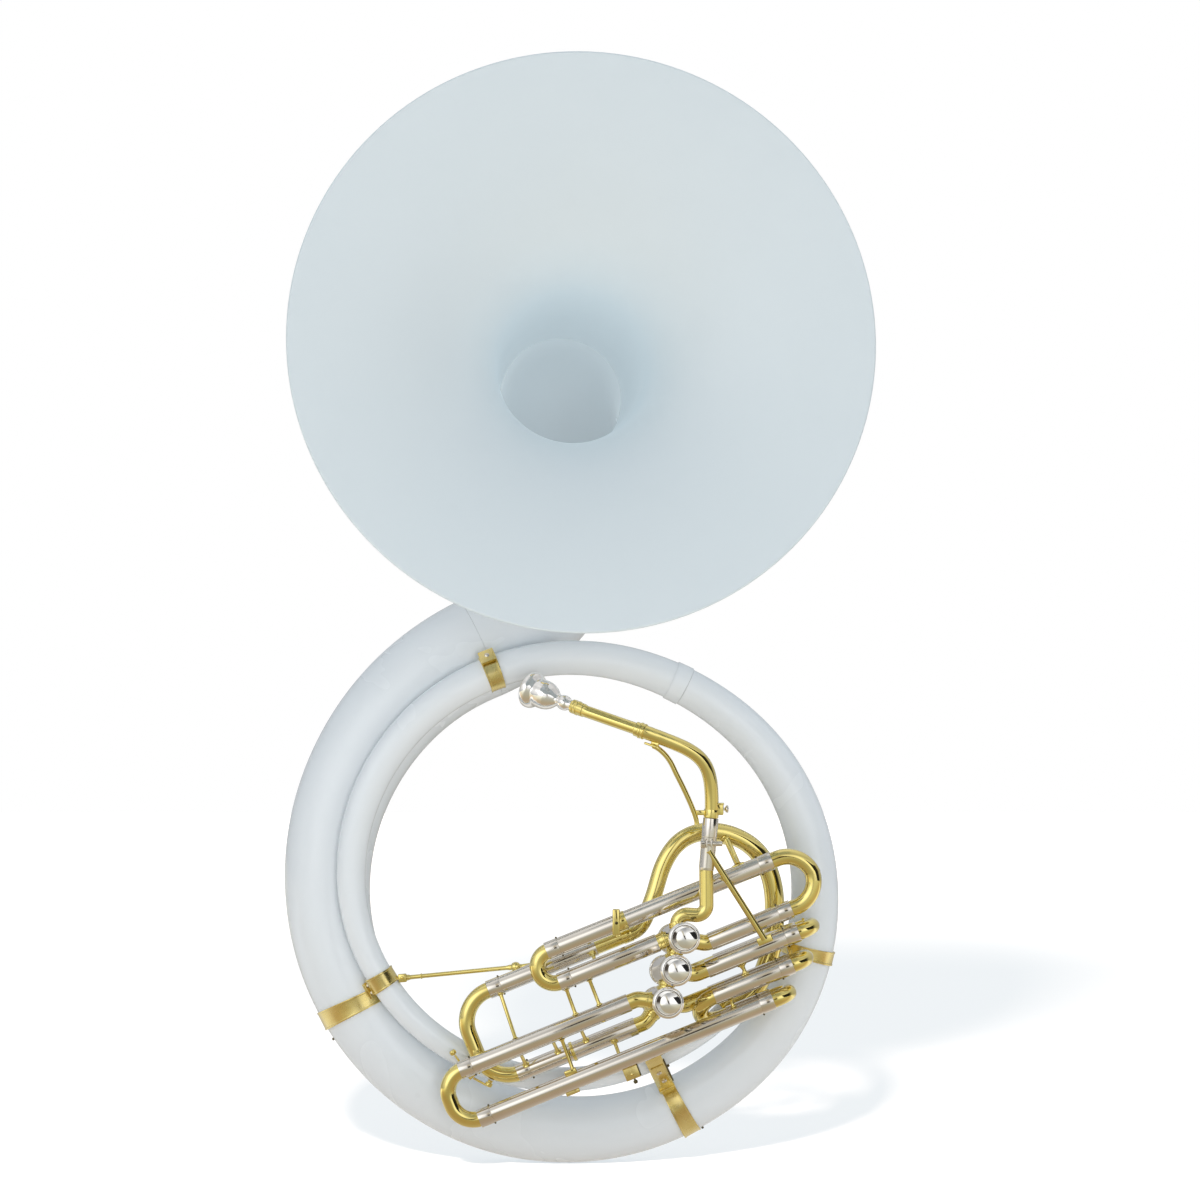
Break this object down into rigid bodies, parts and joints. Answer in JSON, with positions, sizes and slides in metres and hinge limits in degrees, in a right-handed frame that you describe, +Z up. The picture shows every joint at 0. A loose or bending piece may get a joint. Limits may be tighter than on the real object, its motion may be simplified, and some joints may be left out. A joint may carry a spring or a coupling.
{
  "type": "sousaphone",
  "caption": "White fiberglass sousaphone: coiled body worn over the shoulder, detachable flaring bell, piston valves with brass and nickel slides.",
  "frame": {"origin": "where the coil rests on the player's shoulder, on the inner side of the coil", "axes": "+Z up, the bell and the finger buttons face -Y, +X is to the right when looking at the bell"},
  "size_m": [0.6925, 0.6319, 1.2981],
  "materials": {
    "fiberglass": "gloss",
    "brass": "polished lacquer",
    "nickel_silver": "polished",
    "silver_plate": "mirror",
    "valve_steel": "satin"
  },
  "bodies": {
    "body": {"bell_elbow": "fiberglass", "large_branch": "fiberglass", "small_branch": "fiberglass", "bell_ring": "brass", "upper_strap": "brass", "left_strap": "brass", "bottom_strap": "brass", "right_strap": "brass", "left_stay_rod": "brass", "valve_casing_1": "nickel_silver", "valve_casing_2": "nickel_silver", "valve_casing_3": "nickel_silver", "top_cap_1": "silver_plate", "top_cap_2": "silver_plate", "top_cap_3": "silver_plate", "bottom_cap_1": "silver_plate", "bottom_cap_2": "silver_plate", "bottom_cap_3": "silver_plate", "valve_knuckle_1": "brass", "valve_knuckle_2": "brass", "valve_spring_1": "valve_steel", "valve_spring_2": "valve_steel", "valve_spring_3": "valve_steel", "leadpipe": "nickel_silver", "first_upper_tube": "nickel_silver", "first_left_port_tube": "nickel_silver", "first_right_port_tube": "nickel_silver", "second_front_tube": "nickel_silver", "second_back_tube": "nickel_silver", "third_upper_tube": "nickel_silver", "third_lower_tube": "nickel_silver", "third_return_tube": "brass", "third_back_tube": "nickel_silver", "main_lower_tube": "nickel_silver", "main_upper_tube": "nickel_silver", "arch_pipe": "brass"},
    "bell": {"bell": "fiberglass"},
    "bell_screw_1": {"bell_screw_1": "brass"},
    "bell_screw_2": {"bell_screw_2": "brass"},
    "bell_screw_3": {"bell_screw_3": "brass"},
    "valve_1": {"piston_1": "valve_steel", "finger_button_1": "silver_plate"},
    "valve_2": {"piston_2": "valve_steel", "finger_button_2": "silver_plate"},
    "valve_3": {"piston_3": "valve_steel", "finger_button_3": "silver_plate"},
    "first_right_bow": {"first_right_bow": "brass"},
    "first_left_bow": {"first_left_bow": "brass"},
    "second_bow": {"second_bow": "brass"},
    "third_left_bow": {"third_left_bow": "brass"},
    "third_lower_bow": {"third_lower_bow": "brass"},
    "third_upper_bow": {"third_upper_bow": "brass"},
    "main_slide_bow": {"main_slide_bow": "brass"},
    "water_key": {"water_key": "brass"},
    "neck_clamp_screw": {"neck_clamp_screw": "nickel_silver"},
    "neck": {"neck": "brass"},
    "lyre_screw": {"lyre_screw": "brass"},
    "tuning_bit": {"tuning_bit": "brass"},
    "mouthpiece": {"mouthpiece": "silver_plate"}
  },
  "joints": [
    {"name": "bell_pull", "type": "slide", "parent": "body", "child": "bell", "axis": [0.0742, -0.9895, 0.1237], "range_m": [0, 0.06]},
    {"name": "bell_screw_1_turn", "type": "hinge", "parent": "body", "child": "bell_screw_1", "pos_m": [-0.24427, -0.01225, 0.38108], "axis": [-0.9972, -0.0748, 0], "continuous": true},
    {"name": "bell_screw_2_turn", "type": "hinge", "parent": "body", "child": "bell_screw_2", "pos_m": [-0.11644, -0.01179, 0.30803], "axis": [0.5066, -0.0694, -0.8594], "continuous": true},
    {"name": "bell_screw_3_turn", "type": "hinge", "parent": "body", "child": "bell_screw_3", "pos_m": [-0.1178, 0.00637, 0.45413], "axis": [0.4906, 0.1442, 0.8594], "continuous": true},
    {"name": "valve_1_press", "type": "slide", "parent": "body", "child": "valve_1", "axis": [-0.0872, 0.9922, -0.0895], "range_m": [0, 0.018], "stiffness_N_per_m": 120, "springref_m": -0.02, "deforming": ["valve_spring_1"]},
    {"name": "valve_2_press", "type": "slide", "parent": "body", "child": "valve_2", "axis": [-0.0872, 0.9922, -0.0895], "range_m": [0, 0.018], "stiffness_N_per_m": 120, "springref_m": -0.02, "deforming": ["valve_spring_2"]},
    {"name": "valve_3_press", "type": "slide", "parent": "body", "child": "valve_3", "axis": [-0.0872, 0.9922, -0.0895], "range_m": [0, 0.018], "stiffness_N_per_m": 120, "springref_m": -0.02, "deforming": ["valve_spring_3"]},
    {"name": "first_right_bow_pull", "type": "slide", "parent": "body", "child": "first_right_bow", "axis": [0.9272, 0, 0.3746], "range_m": [0, 0.06]},
    {"name": "first_left_bow_pull", "type": "slide", "parent": "body", "child": "first_left_bow", "axis": [-0.9272, 0, -0.3746], "range_m": [0, 0.06]},
    {"name": "second_bow_pull", "type": "slide", "parent": "body", "child": "second_bow", "axis": [0.9272, 0, 0.3746], "range_m": [0, 0.06]},
    {"name": "third_left_bow_pull", "type": "slide", "parent": "body", "child": "third_left_bow", "axis": [-0.9272, 0, -0.3746], "range_m": [0, 0.08]},
    {"name": "third_lower_bow_pull", "type": "slide", "parent": "body", "child": "third_lower_bow", "axis": [0.9272, 0, 0.3746], "range_m": [0, 0.025]},
    {"name": "third_upper_bow_pull", "type": "slide", "parent": "body", "child": "third_upper_bow", "axis": [0.9272, 0, 0.3746], "range_m": [0, 0.05]},
    {"name": "main_slide_bow_pull", "type": "slide", "parent": "body", "child": "main_slide_bow", "axis": [-0.9272, 0, -0.3746], "range_m": [0, 0.08]},
    {"name": "water_key_press", "type": "hinge", "parent": "main_slide_bow", "child": "water_key", "pos_m": [-0.26674, -0.068, -0.43182], "axis": [0, 1, 0], "range_deg": [0, 18], "stiffness_Nm_per_rad": 0.1, "springref_deg": -11.46},
    {"name": "neck_clamp_screw_turn", "type": "hinge", "parent": "body", "child": "neck_clamp_screw", "pos_m": [0.01546, -0.1395, -0.1496], "axis": [1, 0, 0], "continuous": true},
    {"name": "neck_turn", "type": "hinge", "parent": "body", "child": "neck", "pos_m": [0.018, -0.125, -0.1204], "axis": [0.0866, 0, 0.9962], "range_deg": [0, 60]},
    {"name": "lyre_screw_turn", "type": "hinge", "parent": "neck", "child": "lyre_screw", "pos_m": [0.0331, -0.125, -0.1096], "axis": [1, 0, 0], "continuous": true},
    {"name": "tuning_bit_turn", "type": "hinge", "parent": "neck", "child": "tuning_bit", "pos_m": [-0.0655, -0.14, -0.0163], "axis": [-0.896, 0.3251, 0.3024], "range_deg": [-60, 60]},
    {"name": "mouthpiece_pull", "type": "slide", "parent": "tuning_bit", "child": "mouthpiece", "axis": [-0.7808, 0.5506, 0.2953], "range_m": [0, 0.016]}
  ]
}
